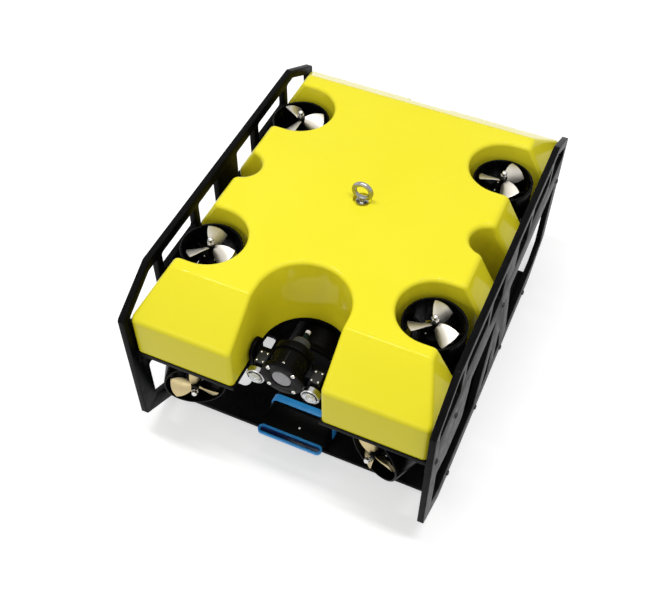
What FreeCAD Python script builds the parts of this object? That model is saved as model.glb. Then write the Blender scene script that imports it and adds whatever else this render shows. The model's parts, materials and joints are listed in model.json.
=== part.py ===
import FreeCAD, Part
import math
import os

# Inspection-class underwater ROV, eight thrusters, open side frames and a buoyancy block on top.
# Millimetres.  +Z is up, X = 0 is the centre plane, the camera end faces -Y.
# The origin is on the floor under the middle of the side plates' lower edges.

V = FreeCAD.Vector
X_AXIS = V(1, 0, 0)
Y_AXIS = V(0, 1, 0)
Z_AXIS = V(0, 0, 1)

# ---- frame envelope ----
WIDTH = 500.0
PLATE_T = 10.0
HALF_W = WIDTH / 2
INNER_X = HALF_W - PLATE_T
HALF_L = 332.0
PLATE_H = 346.0
TOP_BREAK_Y = 246.0
TOP_BREAK_Z = 298.0
FOOT_BREAK_Y = 250.0
FOOT_BREAK_Z = 50.0
PLATE_CORNER_R = 9.0

# ---- windows of the side plates ----
WINDOW_R = 5.0
UPPER_TOP = 328.0
UPPER_SILL = 268.0
SLOT_SILL = 292.0
CENTRE_POST = 66.0
SQUARE_WINDOW = 65.0
POST = 14.0
SLOT_LENGTH = 100.0
END_WINDOW = 88.0
END_SLOPE = 24.0
END_SHOULDER = 38.0
LOWER_TOP = 216.0
LOWER_SILL = 42.0
END_POST = 34.0
KING_POST = 34.0
BRACE_TOP_Y = 36.0
BRACE_FOOT_Y = 90.0
GUSSET_TOP = 140.0
GUSSET_FOOT_Y = 50.0
FOOT_CHAMFER = 20.0
FOOT_RUN = 36.0
LOBE_INNER_Y = 176.0
LOBE_OUTER_Y = 250.0
LOBE_Z = 134.0
LOBE_HIP = 18.0

# ---- buoyancy block ----
FLOAT_BOTTOM = 215.0
FLOAT_TOP = 348.0
FLOAT_X = 238.5
FLOAT_TOP_X = 206.0
FLOAT_FRONT = -320.0
FLOAT_REAR = 326.0
FLOAT_CREASE = 291.0
FLOAT_TOP_FRONT = -242.0
FLOAT_TOP_REAR = 247.0
CREASE_R = 12.0
CORNER_R = 9.0
RIM_R = 7.0
NOTCH_RIM_R = 9.0
ARCH_R = 72.0
ARCH_Y = -222.0
NOTCH_X = 209.0
NOTCH_R = 30.0
WELL_X = 182.6
WELL_Y = 162.0
WELL_R = 58.0
WELL_MOUTH_R = 12.0
REAR_NOTCH_HALF = 40.0
REAR_NOTCH_DEPTH = 24.0
REAR_NOTCH_R = 10.0
EYE_WELL_R = 15.0
EYE_WELL_DEPTH = 7.0

# ---- plates under the block ----
DECK_T = 8.0
DECK_BOTTOM = FLOAT_BOTTOM - DECK_T
DECK_LIP = 1.5
FLOOR_BOTTOM = 6.0
FLOOR_T = 8.0
FLOOR_TOP = FLOOR_BOTTOM + FLOOR_T
FLOOR_HALF_L = 257.0
FLOOR_WINDOW_IN = 124.0
FLOOR_WINDOW_OUT = 206.0
FLOOR_WINDOW_END = 195.0
FLOOR_WEB = 156.0
FLOOR_WINDOW_R = 10.0
SCREW_GRIP = 12.0
DECK_FRAME_Y = (-312.0, -228.0, 0.0, 312.0)
FLOOR_FRAME_Y = (-210.0, -70.0, 70.0, 210.0)
BLOCK_SCREW_X = (-128.0, -92.0, 92.0, 128.0)
BLOCK_SCREW_Y = (-310.0, 314.0)

# ---- thruster ----
DUCT_R = 49.0
DUCT_BORE_R = 45.5
DUCT_LENGTH = 52.0
LIP_R = 2.0
SEAT_R = 22.5
POD_R = 19.0
POD_FRONT = -18.0
POD_LENGTH = 54.0
POD_NOSE = 10.0
VANE_T = 4.0
VANE_LENGTH = 20.0
VANE_COUNT = 3
LEG_COUNT = 4
LEG_ANGLE = 26.0
FLANGE_R = 57.0
FLANGE_T = 4.0
SHAFT_R = 4.0
BEARING_GAP = 0.06
SHAFT_DEPTH = 14.0
BLADE_COUNT = 3
BLADE_R = 39.5
BLADE_Z = -3.0
BLADE_ROOT_R = 4.5
BLADE_ROOT_CHORD = 13.0
BLADE_TIP_CHORD = 30.0
BLADE_BULGE = 9.0
BLADE_ROOT_PITCH = 52.0
BLADE_TIP_PITCH = 21.0
BLADE_ROOT_T = 3.0
BLADE_TIP_T = 1.4
HUB_R = 6.0
HUB_BOTTOM = -17.0
HUB_TOP = 7.0
STUD_TOP = 12.0
NUT_FLATS = 10.0
NUT_HEX = 4.0
NUT_TOP = 18.5
LIP_Z = 320.0
SIDE_THRUSTER_X = 152.8
SIDE_THRUSTER_Y = 304.2
SIDE_THRUSTER_Z = 148.0
TOE_ANGLE = 25.0
SADDLE_WIDTH = 60.0
SADDLE_LENGTH = 36.0
SADDLE_DROP = 26.0
FLANGE_SCREW_R = 52.8
BLADE_CAMBER = 0.06

# resting blade angles, seen along the axis from the nut
BLADE_REST = {"fl": 103.0, "fr": 88.0, "rl": 135.0, "rr": 65.0}
SIDE_BLADE_REST = 100.0
CORNERS = {"fl": (-1, -1), "fr": (1, -1), "rl": (-1, 1), "rr": (1, 1)}

# ---- tilting camera head ----
PIVOT_Y = -254.0
PIVOT_Z = 236.0
PIN_R = 5.0
PIN_GAP = 0.06
EAR_IN = 62.0
EAR_T = 6.0
EAR_R = 18.0
EAR_FOOT = 98.0
CRADLE_HALF = 60.0
CRADLE_T = 12.0
CRADLE_H = 22.0
CAMERA_Z = 250.0
CAMERA_FRONT = -299.0
CAMERA_FLANGE_R = 34.0
CAMERA_FLANGE_T = 7.0
CAMERA_R = 29.0
CAMERA_REAR = -245.0
CAMERA_NECK_R = 21.0
CLAMP_R = 31.5
GLASS_R = 16.0
GLASS_INSET = 6.0
GLASS_T = 3.0
FLANGE_BOLT = 20.0
CONNECTOR_R = 14.0
CONNECTOR_L = 16.0
TAIL_R = 4.0
TAIL_L = 22.0
LAMP_X = 45.0
LAMP_Z = 228.0
LAMP_R = 14.5
LAMP_BODY_R = 11.5
LAMP_FRONT = -297.0
LAMP_BEZEL = 8.0
LAMP_FIN = 2.5
LAMP_FIN_COUNT = 4
LENS_R = 13.0
LENS_SAG = 7.0
LENS_SEAT = 3.0

# ---- sensor pod at the bow ----
POD_HALF = 54.0
POD_TOP = 74.0
POD_BACK = -130.0
POD_SHOULDER = -240.0
POD_NOSE_Y = -275.0
NOSE_TOP = 60.0
NOSE_BOTTOM = 54.0
CHIN_Y = -250.0
STRAP_Y = -235.0
STRAP_W = 13.0
STRAP_T = 2.5
STRAP_FOOT = 22.0
BEZEL_HALF = 57.0
BEZEL_DEPTH = 17.0
BEZEL_WALL = 3.5
BEZEL_SINK = 3.0
POD_SHOULDER_R = 10.0

# ---- pressure hulls ----
HULL_R = 55.0
HULL_WALL = 5.0
HULL_Z = 146.0
HULL_FRONT = -188.0
HULL_REAR = 214.0
CAP_T = 12.0
CAP_BEVEL = 3.0
CAP_LIP = 2.0
BATTERY_CAP_LIP = 1.0
BATTERY_R = 36.0
BATTERY_Z = 51.0
BATTERY_FRONT = -112.0
CRADLE_Y = (-70.0, 150.0)
SADDLE_T = 12.0
SADDLE_HALF = 70.0
GLAND_HEX = 17.0
GLAND_H = 16.0
GLAND_BORE_R = 3.2
GLAND_BORE = 12.0
TETHER_GLAND_HEX = 27.0
TETHER_GLAND_H = 24.0
TETHER_BORE_R = 5.0
GLAND_RING = 34.0

# ---- lifting eye, DIN 580 size M8 ----
EYE_OUTER = 36.0
EYE_INNER = 20.0
EYE_COLLAR_R = 10.0
EYE_COLLAR_T = 6.0
EYE_ROD_R = 4.0
EYE_HEIGHT = 36.0
EYE_TAIL = 5.5
EYE_NUT_H = 4.0
EYE_NUT_FLATS = 13.0
EYE_WASHER_T = 1.5

# ---- fasteners ----
M5_R = 2.5
M5_HEAD_R = 4.75
M5_HEAD_H = 2.8
M4_R = 2.0
M4_HEAD_R = 3.6
M4_HEAD_H = 2.4
BRACKET_L = 24.0
BRACKET_W = 14.0
BRACKET_T = 3.0
BRACKET_Y = 314.0
BRACKET_HOLE_X = 224.0
PAYLOAD_X = 100.0
PAYLOAD_Y = 80.0
PAYLOAD_MID_Y = -5.0
PAYLOAD_HOLE_R = 3.3


def polygon_prism(points, axis, start, length):
    """Extrude a closed outline along one axis."""
    if axis == "x":
        corners = [V(start, a, b) for a, b in points]
        travel = V(length, 0, 0)
    elif axis == "y":
        corners = [V(a, start, b) for a, b in points]
        travel = V(0, length, 0)
    else:
        corners = [V(a, b, start) for a, b in points]
        travel = V(0, 0, length)
    wire = Part.makePolygon(corners + [corners[0]])
    return Part.Face(wire).extrude(travel)


def runs_along(edge, direction):
    """True for a straight edge parallel to the direction."""
    if not isinstance(edge.Curve, Part.Line):
        return False
    return abs(abs(edge.Curve.Direction.dot(direction)) - 1.0) < 1e-6


def soften(solid, radius, direction):
    """Round every straight edge that runs along the direction."""
    edges = [e for e in solid.Edges if runs_along(e, direction)]
    return solid.makeFillet(radius, edges)


def box(low, high):
    """Block between two corner points."""
    size = [b - a for a, b in zip(low, high)]
    return Part.makeBox(size[0], size[1], size[2], V(*low))


def rod(radius, length, base, direction):
    """Solid cylinder."""
    return Part.makeCylinder(radius, length, V(*base), direction)


def turned(profile, base, direction):
    """Solid of revolution: profile holds (radius, distance along the direction)."""
    points = [V(r, 0, s) for r, s in profile]
    face = Part.Face(Part.makePolygon(points + [points[0]]))
    solid = face.revolve(V(0, 0, 0), Z_AXIS, 360)
    return seated(solid, base, direction)


def seated(shape, base, direction):
    """Move a shape built along +Z from the origin onto a base point and direction."""
    copy = shape.copy()
    place = FreeCAD.Placement(V(*base), FreeCAD.Rotation(Z_AXIS, direction))
    copy.Placement = place.multiply(copy.Placement)
    return copy


def mirrored_x(shape):
    """Port-side twin of a starboard shape."""
    return shape.mirror(V(0, 0, 0), X_AXIS)


def save(name, shape):
    """Write one node."""
    shape.exportStep("parts/" + name + ".step")


def bundle(solids):
    """Several separate solids in one node."""
    return Part.makeCompound(solids)


# ------------------------------------------------------------------ side plates

def plate_outline():
    """Side plate seen from the side: long octagon with raked ends."""
    quarter = [(HALF_L, FOOT_BREAK_Z), (HALF_L, TOP_BREAK_Z), (TOP_BREAK_Y, PLATE_H)]
    left = [(-y, z) for y, z in reversed(quarter)]
    feet = [(-FOOT_BREAK_Y, 0.0), (FOOT_BREAK_Y, 0.0)]
    return quarter + left + feet


def upper_windows():
    """Row of windows beside the buoyancy block, for one half of the plate."""
    square_in = CENTRE_POST / 2
    square_out = square_in + SQUARE_WINDOW
    slot_in = square_out + POST
    slot_out = slot_in + SLOT_LENGTH
    end_in = slot_out + POST
    end_out = end_in + END_WINDOW
    square = rectangle(square_in, square_out, UPPER_SILL, UPPER_TOP)
    slot = rectangle(slot_in, slot_out, SLOT_SILL, UPPER_TOP)
    shoulder = UPPER_TOP - END_SHOULDER
    end = [(end_in, UPPER_SILL), (end_out, UPPER_SILL), (end_out, shoulder),
           (end_in + END_SLOPE, UPPER_TOP), (end_in, UPPER_TOP)]
    return [square, slot, end]


def rectangle(a0, a1, b0, b1):
    """Corner list of an upright rectangle."""
    return [(a0, b0), (a1, b0), (a1, b1), (a0, b1)]


def gusset_window():
    """Small triangle between the king post and a brace."""
    post = KING_POST / 2
    return [(post, LOWER_SILL), (GUSSET_FOOT_Y, LOWER_SILL), (post, GUSSET_TOP)]


def stern_window():
    """Large lower opening at the stern."""
    end = HALF_L - END_POST
    return [(BRACE_FOOT_Y, LOWER_SILL), (end - FOOT_RUN, LOWER_SILL),
            (end, LOWER_SILL + FOOT_CHAMFER), (end, LOWER_TOP), (BRACE_TOP_Y, LOWER_TOP)]


def bow_window():
    """Large lower opening at the bow, running under the thruster panel."""
    end = HALF_L - END_POST
    return [(-BRACE_FOOT_Y, LOWER_SILL), (-BRACE_TOP_Y, LOWER_TOP),
            (-LOBE_INNER_Y + LOBE_HIP, LOWER_TOP), (-LOBE_INNER_Y, LOBE_Z),
            (-LOBE_OUTER_Y, LOBE_Z), (-end, LOBE_Z + LOBE_HIP),
            (-end, LOWER_SILL + FOOT_CHAMFER), (-end + FOOT_RUN, LOWER_SILL)]


def side_plate():
    """Starboard side plate."""
    plate = polygon_prism(plate_outline(), "x", INNER_X, PLATE_T)
    plate = soften(plate, PLATE_CORNER_R, X_AXIS)
    halves = upper_windows() + [gusset_window()]
    windows = halves + [[(-y, z) for y, z in w] for w in halves]
    windows += [stern_window(), bow_window()]
    for outline in windows:
        cutter = polygon_prism(outline, "x", INNER_X - PLATE_T, 3 * PLATE_T)
        plate = plate.cut(soften(cutter, WINDOW_R, X_AXIS))
    for y, z in frame_screw_places():
        plate = plate.cut(rod(M5_R, 2 * PLATE_T, (INNER_X - 1, y, z), X_AXIS))
    return plate


def frame_screw_places():
    """Where the side plates are screwed to the deck and floor plates."""
    deck_z = DECK_BOTTOM + DECK_T / 2
    floor_z = FLOOR_BOTTOM + FLOOR_T / 2
    deck = [(y, deck_z) for y in DECK_FRAME_Y]
    floor = [(y, floor_z) for y in FLOOR_FRAME_Y]
    return deck + floor


# ------------------------------------------------------------------ buoyancy block

def open_slot(x, y, radius, outward, bottom, height):
    """Upright cutter: a round end that runs out along +X or -X."""
    shaft = rod(radius, height, (x, y, bottom), Z_AXIS)
    near, far = sorted((x, outward * (HALF_W + PLATE_T)))
    mouth = box((near, y - radius, bottom), (far, y + radius, bottom + height))
    return shaft.fuse(mouth).removeSplitter()


def arch_cutter(radius, bottom, height):
    """Recess for the camera head, open to the bow."""
    bend = rod(radius, height, (0, ARCH_Y, bottom), Z_AXIS)
    run = box((-radius, -HALF_L - 50, bottom), (radius, ARCH_Y, bottom + height))
    return bend.fuse(run).removeSplitter()


def stern_cutter(bottom, height):
    """Rounded notch in the stern rake, where the tether leaves."""
    run = box((-REAR_NOTCH_HALF, FLOAT_REAR - REAR_NOTCH_DEPTH, bottom),
              (REAR_NOTCH_HALF, FLOAT_REAR + 60, bottom + height))
    return soften(run, REAR_NOTCH_R, Z_AXIS)


def round_creases(form, direction):
    """Round the long edges above the bottom face."""
    edges = [e for e in form.Edges
             if runs_along(e, direction) and e.CenterOfMass.z > FLOAT_CREASE - 1]
    return form.makeFillet(CREASE_R, edges)


def float_blank():
    """Block with raked ends and chamfered sides, before its recesses."""
    side = [(FLOAT_FRONT, FLOAT_BOTTOM), (FLOAT_FRONT, FLOAT_CREASE), (FLOAT_TOP_FRONT, FLOAT_TOP),
            (FLOAT_TOP_REAR, FLOAT_TOP), (FLOAT_REAR, FLOAT_CREASE), (FLOAT_REAR, FLOAT_BOTTOM)]
    end = [(-FLOAT_X, FLOAT_BOTTOM), (-FLOAT_X, FLOAT_CREASE), (-FLOAT_TOP_X, FLOAT_TOP),
           (FLOAT_TOP_X, FLOAT_TOP), (FLOAT_X, FLOAT_CREASE), (FLOAT_X, FLOAT_BOTTOM)]
    long_form = round_creases(polygon_prism(side, "x", -HALF_W, WIDTH), X_AXIS)
    cross_form = round_creases(polygon_prism(end, "y", -HALF_L - 20, 2 * HALF_L + 40), Y_AXIS)
    blank = long_form.common(cross_form)
    corners = [e for e in blank.Edges if runs_along(e, Z_AXIS)]
    return blank.makeFillet(CORNER_R, corners)


def rim_seed(form, centre_x, centre_y, radius):
    """Top edges round a recess: the rounding follows them down the slopes."""
    seeds = []
    for edge in form.Edges:
        extent = edge.BoundBox
        level = extent.ZLength < 0.01 and abs(extent.ZMin - FLOAT_TOP) < 0.01
        offset = math.hypot(extent.Center.x - centre_x, extent.Center.y - centre_y)
        if level and offset < radius and edge.Length < 4 * radius:
            seeds.append(edge)
    return seeds


def float_block():
    """Syntactic-foam block with thruster wells, hand notches, camera arch and stern notch."""
    low = FLOAT_BOTTOM - 20
    tall = FLOAT_TOP + 20 - low
    form = float_blank().cut(arch_cutter(ARCH_R, low, tall))
    form = form.makeFillet(RIM_R, rim_seed(form, 0, ARCH_Y, ARCH_R))
    for sx, sy in CORNERS.values():
        x, y = sx * WELL_X, sy * WELL_Y
        form = form.cut(open_slot(x, y, WELL_R, sx, low, tall))
        form = form.makeFillet(RIM_R, rim_seed(form, x, y, WELL_R))
    for sx in (-1, 1):
        form = form.cut(open_slot(sx * NOTCH_X, 0, NOTCH_R, sx, low, tall))
        form = form.makeFillet(NOTCH_RIM_R, rim_seed(form, sx * NOTCH_X, 0, NOTCH_R))
    form = form.cut(stern_cutter(low, tall))
    form = form.cut(rod(EYE_WELL_R, EYE_WELL_DEPTH, (0, 0, FLOAT_TOP - EYE_WELL_DEPTH), Z_AXIS))
    return form.cut(rod(EYE_ROD_R + 0.5, tall, (0, 0, low), Z_AXIS))


# ------------------------------------------------------------------ deck and floor plates

def deck_plate():
    """Plate that carries the block, following its outline with a narrow lip."""
    low, tall = DECK_BOTTOM - 5, DECK_T + 10
    plate = box((-INNER_X, FLOAT_FRONT - DECK_LIP, DECK_BOTTOM),
                (INNER_X, FLOAT_REAR + DECK_LIP, FLOAT_BOTTOM))
    plate = plate.cut(arch_cutter(ARCH_R - DECK_LIP, low, tall))
    plate = plate.cut(stern_cutter(low, tall))
    for sx, sy in CORNERS.values():
        plate = plate.cut(rod(DUCT_BORE_R, tall, (sx * WELL_X, sy * WELL_Y, low), Z_AXIS))
    for x, y in deck_screw_places() + bracket_places():
        plate = plate.cut(rod(M5_R, tall, (x, y, low), Z_AXIS))
    for x, y in saddle_screw_places() + ear_screw_places():
        plate = plate.cut(rod(M4_R, tall, (x, y, low), Z_AXIS))
    plate = plate.cut(rod(EYE_ROD_R, tall, (0, 0, low), Z_AXIS))
    for y, z in frame_screw_places():
        for sx in (-1, 1):
            plate = plate.cut(rod(M5_R, SCREW_GRIP, (sx * INNER_X, y, z), V(-sx, 0, 0)))
    return plate


def floor_plate():
    """Bottom plate with long windows either side of the centre strip."""
    low, tall = FLOOR_BOTTOM - 5, FLOOR_T + 10
    plate = box((-INNER_X, -FLOOR_HALF_L, FLOOR_BOTTOM), (INNER_X, FLOOR_HALF_L, FLOOR_TOP))
    web = FLOOR_WEB / 2
    for sx in (-1, 1):
        for sy in (-1, 1):
            xs = sorted((sx * FLOOR_WINDOW_IN, sx * FLOOR_WINDOW_OUT))
            ys = sorted((sy * web, sy * FLOOR_WINDOW_END))
            cutter = box((xs[0], ys[0], low), (xs[1], ys[1], low + tall))
            plate = plate.cut(soften(cutter, FLOOR_WINDOW_R, Z_AXIS))
            hole = (sx * PAYLOAD_X / 2, PAYLOAD_MID_Y + sy * PAYLOAD_Y / 2, low)
            plate = plate.cut(rod(PAYLOAD_HOLE_R, tall, hole, Z_AXIS))
    for y, z in frame_screw_places():
        for sx in (-1, 1):
            plate = plate.cut(rod(M5_R, SCREW_GRIP, (sx * INNER_X, y, z), V(-sx, 0, 0)))
    return plate


def deck_screw_places():
    """Screws that hold the block down, in two rows across the deck."""
    return [(x, y) for y in BLOCK_SCREW_Y for x in BLOCK_SCREW_X]


def bracket_places():
    """Corner brackets between deck and side plates."""
    return [(sx * BRACKET_HOLE_X, sy * BRACKET_Y) for sx, sy in CORNERS.values()]


def corner_bracket(sx, sy):
    """Small angle: one leg under the deck, one on the side plate."""
    width = BRACKET_W / 2
    y = sy * BRACKET_Y
    legs = [(0, 0), (0, -BRACKET_L), (BRACKET_T, -BRACKET_L), (BRACKET_T, -BRACKET_T),
            (BRACKET_L, -BRACKET_T), (BRACKET_L, 0)]
    points = [(sx * (INNER_X - a), DECK_BOTTOM + b) for a, b in legs]
    angle = polygon_prism(points, "y", y - width, BRACKET_W)
    hole = (sx * BRACKET_HOLE_X, y, DECK_BOTTOM - BRACKET_L)
    return angle.cut(rod(M5_R, 2 * BRACKET_L, hole, Z_AXIS))


def button_screw(radius, head_r, head_h, grip, base, direction):
    """Button-head screw: the base is the face under its head, the shank runs along -direction."""
    profile = [(0, -grip), (radius, -grip), (radius, 0), (head_r, 0), (head_r, head_h * 0.45),
               (head_r * 0.6, head_h), (0, head_h)]
    return turned(profile, base, direction)


def m5(grip, base, direction):
    """M5 button-head screw."""
    return button_screw(M5_R, M5_HEAD_R, M5_HEAD_H, grip, base, direction)


def m4(grip, base, direction):
    """M4 button-head screw."""
    return button_screw(M4_R, M4_HEAD_R, M4_HEAD_H, grip, base, direction)


def frame_screws():
    """Screws through the side plates into the deck and floor plates."""
    screws = []
    for y, z in frame_screw_places():
        for sx in (-1, 1):
            base = (sx * HALF_W, y, z)
            screws.append(m5(PLATE_T + SCREW_GRIP - 1, base, V(sx, 0, 0)))
    return bundle(screws)


def deck_screws():
    """Screws under the deck into the block and through the corner brackets."""
    screws = [m5(DECK_T, (x, y, DECK_BOTTOM), V(0, 0, -1)) for x, y in deck_screw_places()]
    under = DECK_BOTTOM - BRACKET_T
    screws += [m5(DECK_T + BRACKET_T, (x, y, under), V(0, 0, -1)) for x, y in bracket_places()]
    return bundle(screws)


# ------------------------------------------------------------------ thrusters

def duct():
    """Nozzle ring with rounded lip, three stator vanes and a seat for the motor pod."""
    ring = rod(DUCT_R, DUCT_LENGTH, (0, 0, -DUCT_LENGTH), Z_AXIS)
    ring = ring.cut(rod(DUCT_BORE_R, DUCT_LENGTH, (0, 0, -DUCT_LENGTH), Z_AXIS))
    lips = [e for e in ring.Edges if abs(e.BoundBox.ZMin) < 0.01 and abs(e.BoundBox.ZMax) < 0.01]
    ring = ring.makeFillet(LIP_R * 0.8, lips)
    seat = rod(SEAT_R, VANE_LENGTH, (0, 0, -DUCT_LENGTH), Z_AXIS)
    reach = DUCT_BORE_R + 1
    for index in range(VANE_COUNT):
        vane = box((0, -VANE_T / 2, -DUCT_LENGTH), (reach, VANE_T / 2, VANE_LENGTH - DUCT_LENGTH))
        vane.rotate(V(0, 0, 0), Z_AXIS, 30 + 360 * index / VANE_COUNT)
        seat = seat.fuse(vane)
    seat = seat.cut(rod(POD_R, DUCT_LENGTH, (0, 0, -DUCT_LENGTH - 10), Z_AXIS))
    return ring.fuse(seat).removeSplitter()


def lifting_duct():
    """Nozzle on four legs with a flange that bolts to the deck."""
    drop = FLOAT_BOTTOM - LIP_Z
    leg = rod(DUCT_R, -DUCT_LENGTH - drop, (0, 0, drop), Z_AXIS)
    leg = leg.cut(rod(DUCT_BORE_R, 200, (0, 0, drop - 10), Z_AXIS))
    body = duct()
    for index in range(LEG_COUNT):
        half = math.radians(LEG_ANGLE / 2)
        wedge = polygon_prism([(0, 0), (80 * math.cos(half), -80 * math.sin(half)),
                               (80 * math.cos(half), 80 * math.sin(half))], "z", drop, 60)
        wedge.rotate(V(0, 0, 0), Z_AXIS, 45 + 360 * index / LEG_COUNT)
        body = body.fuse(leg.common(wedge))
    flange = rod(FLANGE_R, FLANGE_T, (0, 0, drop), Z_AXIS)
    flange = flange.cut(rod(DUCT_BORE_R, 200, (0, 0, drop - 10), Z_AXIS))
    body = body.fuse(flange)
    for x, y in ring_places(FLANGE_SCREW_R, LEG_COUNT, 0):
        body = body.cut(rod(M4_R, FLANGE_T + 2, (x, y, drop - 1), Z_AXIS))
    return body.removeSplitter()


def ring_places(radius, count, start):
    """Evenly spaced points on a circle."""
    angles = [math.radians(start + 360 * i / count) for i in range(count)]
    return [(radius * math.cos(a), radius * math.sin(a)) for a in angles]


def motor_pod():
    """Brushless motor pod with a bearing bore and a tapered tail."""
    tail = POD_FRONT - POD_LENGTH
    profile = [(0, tail), (POD_R * 0.45, tail), (POD_R, tail + POD_NOSE), (POD_R, POD_FRONT - 2),
               (POD_R - 2, POD_FRONT), (SHAFT_R + BEARING_GAP, POD_FRONT),
               (SHAFT_R + BEARING_GAP, POD_FRONT - SHAFT_DEPTH), (0, POD_FRONT - SHAFT_DEPTH)]
    return turned(profile, (0, 0, 0), Z_AXIS)


def blade_section(radius, share):
    """Cambered blade section at one radius, as a closed wire across the blade."""
    chord = BLADE_ROOT_CHORD + (BLADE_TIP_CHORD - BLADE_ROOT_CHORD) * share
    chord += 4 * BLADE_BULGE * share * (1 - share)
    pitch = BLADE_ROOT_PITCH + (BLADE_TIP_PITCH - BLADE_ROOT_PITCH) * share
    half_t = (BLADE_ROOT_T + (BLADE_TIP_T - BLADE_ROOT_T) * share) / 2
    camber = chord * BLADE_CAMBER
    upper = [(-chord / 2, 0), (0, camber + half_t), (chord / 2, 0)]
    lower = [(chord / 2, -half_t), (0, camber - half_t), (-chord / 2, -half_t)]
    turn = FreeCAD.Rotation(X_AXIS, pitch)
    middle = V(radius, 0, BLADE_Z)
    over = [middle + turn.multVec(V(0, a, b)) for a, b in upper]
    under = [middle + turn.multVec(V(0, a, b)) for a, b in lower]
    edges = [Part.Arc(*over).toShape(), Part.LineSegment(over[2], under[0]).toShape(),
             Part.Arc(*under).toShape(), Part.LineSegment(under[2], over[0]).toShape()]
    return Part.Wire(edges)


def blade():
    """One twisted blade, trimmed to the sweep of its tip."""
    reach = BLADE_R + 4 - BLADE_ROOT_R
    sections = [blade_section(BLADE_ROOT_R + reach * s, s) for s in (0.0, 0.35, 0.7, 1.0)]
    solid = Part.makeLoft(sections, True, False)
    return solid.common(rod(BLADE_R, 80, (0, 0, -40), Z_AXIS))


def propeller():
    """Three-blade propeller with its shaft below and threaded stud above."""
    profile = [(0, POD_FRONT - SHAFT_DEPTH + 1), (SHAFT_R, POD_FRONT - SHAFT_DEPTH + 1),
               (SHAFT_R, HUB_BOTTOM), (HUB_R, HUB_BOTTOM), (HUB_R, HUB_TOP - 2),
               (HUB_R - 1.5, HUB_TOP), (SHAFT_R, HUB_TOP), (SHAFT_R, STUD_TOP), (0, STUD_TOP)]
    body = turned(profile, (0, 0, 0), Z_AXIS)
    one = blade()
    for index in range(BLADE_COUNT):
        copy = one.copy()
        copy.rotate(V(0, 0, 0), Z_AXIS, 360 * index / BLADE_COUNT)
        body = body.fuse(copy)
    return body.removeSplitter()


def hexagon(flats, height, base_z):
    """Hexagonal prism along Z."""
    radius = flats / math.sqrt(3)
    return polygon_prism(ring_places(radius, 6, 0), "z", base_z, height)


def acorn_nut(base_z):
    """Domed cap nut over the stud."""
    nut = hexagon(NUT_FLATS, NUT_HEX, base_z)
    nut = nut.common(Part.makeSphere(NUT_FLATS * 0.62, V(0, 0, base_z + NUT_HEX * 0.35)))
    crown = NUT_TOP - HUB_TOP
    dome_r = NUT_FLATS / 2 - 0.4
    dome = rod(dome_r, crown, (0, 0, base_z), Z_AXIS)
    rim = [e for e in dome.Edges if abs(e.BoundBox.ZMin - base_z - crown) < 0.01]
    dome = dome.makeFillet(dome_r - 0.3, rim)
    return nut.fuse(dome).cut(rod(SHAFT_R, STUD_TOP - HUB_TOP, (0, 0, base_z), Z_AXIS))


def thruster_seats():
    """Where each of the eight thrusters sits: key, base point, axis and blade angle."""
    seats = []
    toe = math.radians(TOE_ANGLE)
    for key, (sx, sy) in CORNERS.items():
        base = (sx * WELL_X, sy * WELL_Y, LIP_Z)
        seats.append(("v_" + key, base, Z_AXIS, BLADE_REST[key]))
    for key, (sx, sy) in CORNERS.items():
        base = (sx * SIDE_THRUSTER_X, sy * SIDE_THRUSTER_Y, SIDE_THRUSTER_Z)
        axis = V(-sx * math.sin(toe), sy * math.cos(toe), 0)
        seats.append(("h_" + key, base, axis, SIDE_BLADE_REST))
    return seats


def saddle(base, axis):
    """Block under the deck, hollowed to the nozzle it carries."""
    middle = V(*base) - axis * (DUCT_LENGTH / 2)
    block = box((-SADDLE_WIDTH / 2, -SADDLE_LENGTH / 2, DECK_BOTTOM - SADDLE_DROP),
                (SADDLE_WIDTH / 2, SADDLE_LENGTH / 2, DECK_BOTTOM))
    heading = math.degrees(math.atan2(axis.y, axis.x)) - 90
    block.rotate(V(0, 0, 0), Z_AXIS, heading)
    block.translate(V(middle.x, middle.y, 0))
    return block.cut(rod(DUCT_R, 4 * DUCT_LENGTH, tuple(middle - axis * 2 * DUCT_LENGTH), axis))


def saddle_screw_places():
    """Screws down through the deck into the nozzle saddles."""
    places = []
    for name, base, axis, angle in thruster_seats():
        if not name.startswith("h_"):
            continue
        middle = V(*base) - axis * (DUCT_LENGTH / 2)
        across = axis.cross(Z_AXIS)
        for side in (-1, 1):
            spot = middle + across * (side * SADDLE_WIDTH * 0.38)
            places.append((spot.x, spot.y))
    return places


def thruster_screws():
    """Screws of the nozzle flanges."""
    screws = []
    for sx, sy in CORNERS.values():
        for x, y in ring_places(FLANGE_SCREW_R, LEG_COUNT, 0):
            base = (sx * WELL_X + x, sy * WELL_Y + y, FLOAT_BOTTOM + FLANGE_T)
            screws.append(m4(FLANGE_T, base, Z_AXIS))
    return bundle(screws)


# ------------------------------------------------------------------ tilting camera head

def ear_screw_places():
    """Two screws through the foot of each tilt bracket."""
    x = EAR_FOOT - 10
    return [(sx * x, PIVOT_Y + dy) for sx in (-1, 1) for dy in (-10.0, 10.0)]


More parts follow.
